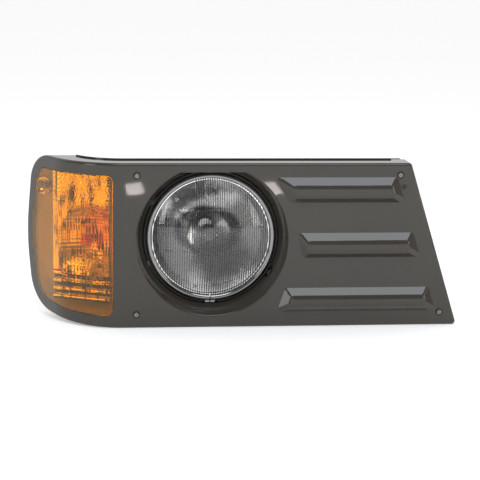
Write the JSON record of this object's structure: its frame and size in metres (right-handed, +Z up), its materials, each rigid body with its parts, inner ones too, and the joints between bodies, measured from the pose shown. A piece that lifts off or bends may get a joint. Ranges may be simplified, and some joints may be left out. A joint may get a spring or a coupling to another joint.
{
  "type": "headlight assembly",
  "caption": "Left-side headlight assembly: round sealed-beam lamp and wrap-round amber signal lamp in a dark grey ribbed bezel, with aiming screws and rear studs.",
  "frame": {"origin": "centre of the four-stud pattern on the rear face of the mounting panel, which is where the lamp axis crosses the mounting plane", "axes": "+Z up, the front faces -Y, +X to the right as seen from the front; the lamp axis lies along Y"},
  "size_m": [0.6132, 0.1374, 0.2374],
  "materials": {
    "bezel_plastic": "gloss dark grey paint on moulded plastic",
    "panel_plastic": "fine moulded texture",
    "housing_plastic": "moulded light grey",
    "screw_steel": "plain steel",
    "zinc_steel": "zinc plated",
    "ring_steel": "polished stainless steel",
    "black_steel": "satin black",
    "black_nylon": "moulded",
    "white_nylon": "moulded",
    "grey_nylon": "moulded",
    "terminal_base": "hard moulded insulator",
    "brass": "plain",
    "tungsten": "drawn wire",
    "shield_metal": "dull nickel plate",
    "lamp_glass": "clear",
    "amber_glass": "amber coated",
    "amber_plastic": "clear amber acrylic with moulded optics",
    "reflector_mirror": "aluminium film on glass",
    "chromed_plastic": "metallised plastic",
    "foam_rubber": "closed-cell foam",
    "black_rubber": "moulded"
  },
  "bodies": {
    "housing": {"bezel": "bezel_plastic", "bezel_screws": "screw_steel", "screw_washers": "black_nylon", "boss_inserts": "brass", "face_plug": "black_nylon", "mounting_panel": "panel_plastic", "mounting_studs": "zinc_steel", "panel_seal": "foam_rubber", "pivot_socket": "white_nylon", "aim_bushes": "white_nylon", "signal_lens": "amber_plastic", "signal_gasket": "foam_rubber", "signal_housing": "housing_plastic", "signal_reflector": "chromed_plastic", "marker_reflector": "chromed_plastic", "signal_screws": "screw_steel"},
    "headlamp": {"headlamp_lens": "lamp_glass", "headlamp_reflector": "reflector_mirror", "headlamp_capsule": "lamp_glass", "headlamp_filament": "tungsten", "glare_shield": "shield_metal", "capsule_posts": "tungsten", "headlamp_base": "terminal_base", "headlamp_prongs": "brass", "retaining_ring": "ring_steel", "ring_clamp_screw": "screw_steel", "seat_ring": "black_steel", "aim_nuts": "black_nylon", "pivot_yoke": "zinc_steel"},
    "aim_pivot": {"pivot_ball": "white_nylon"},
    "vertical_screw": {"vertical_aim_screw": "zinc_steel"},
    "horizontal_screw": {"horizontal_aim_screw": "zinc_steel"},
    "turn_bulb_holder": {"turn_socket": "grey_nylon", "turn_socket_seal": "black_rubber", "turn_contacts": "brass", "turn_bulb_base": "brass", "turn_bulb_glass": "amber_glass", "turn_bulb_filament": "tungsten"},
    "marker_bulb_holder": {"marker_socket": "grey_nylon", "marker_socket_seal": "black_rubber", "marker_contacts": "brass", "marker_bulb_base": "grey_nylon", "marker_bulb_glass": "lamp_glass", "marker_bulb_filament": "tungsten"}
  },
  "joints": [
    {"name": "horizontal_aim", "type": "hinge", "parent": "housing", "child": "aim_pivot", "pos_m": [-0.08572, -0.025, -0.0515], "axis": [0, 0, 1], "range_deg": [-2.5, 2.5]},
    {"name": "vertical_aim", "type": "hinge", "parent": "aim_pivot", "child": "headlamp", "pos_m": [-0.08572, -0.025, -0.0515], "axis": [1, 0, 0], "range_deg": [-4, 4]},
    {"name": "vertical_aim_screw_spin", "type": "hinge", "parent": "housing", "child": "vertical_screw", "pos_m": [-0.08572, 0, 0.0515], "axis": [0, 1, 0], "range_deg": [-1320, 1320]},
    {"name": "horizontal_aim_screw_spin", "type": "hinge", "parent": "housing", "child": "horizontal_screw", "pos_m": [0.08572, 0, -0.0515], "axis": [0, 1, 0], "range_deg": [-1380, 1380]},
    {"name": "turn_socket_twist", "type": "hinge", "parent": "housing", "child": "turn_bulb_holder", "pos_m": [-0.163, 0.00506, -0.008], "axis": [0.4226, 0.9063, 0], "range_deg": [0, 45]},
    {"name": "marker_socket_twist", "type": "hinge", "parent": "housing", "child": "marker_bulb_holder", "pos_m": [-0.229, 0.03583, 0.064], "axis": [0.4226, 0.9063, 0], "range_deg": [0, 45]}
  ],
  "couplings": [
    {"joint": "vertical_aim_screw_spin", "follows": "vertical_aim", "ratio": 323.61},
    {"joint": "horizontal_aim_screw_spin", "follows": "horizontal_aim", "ratio": 538.57}
  ]
}
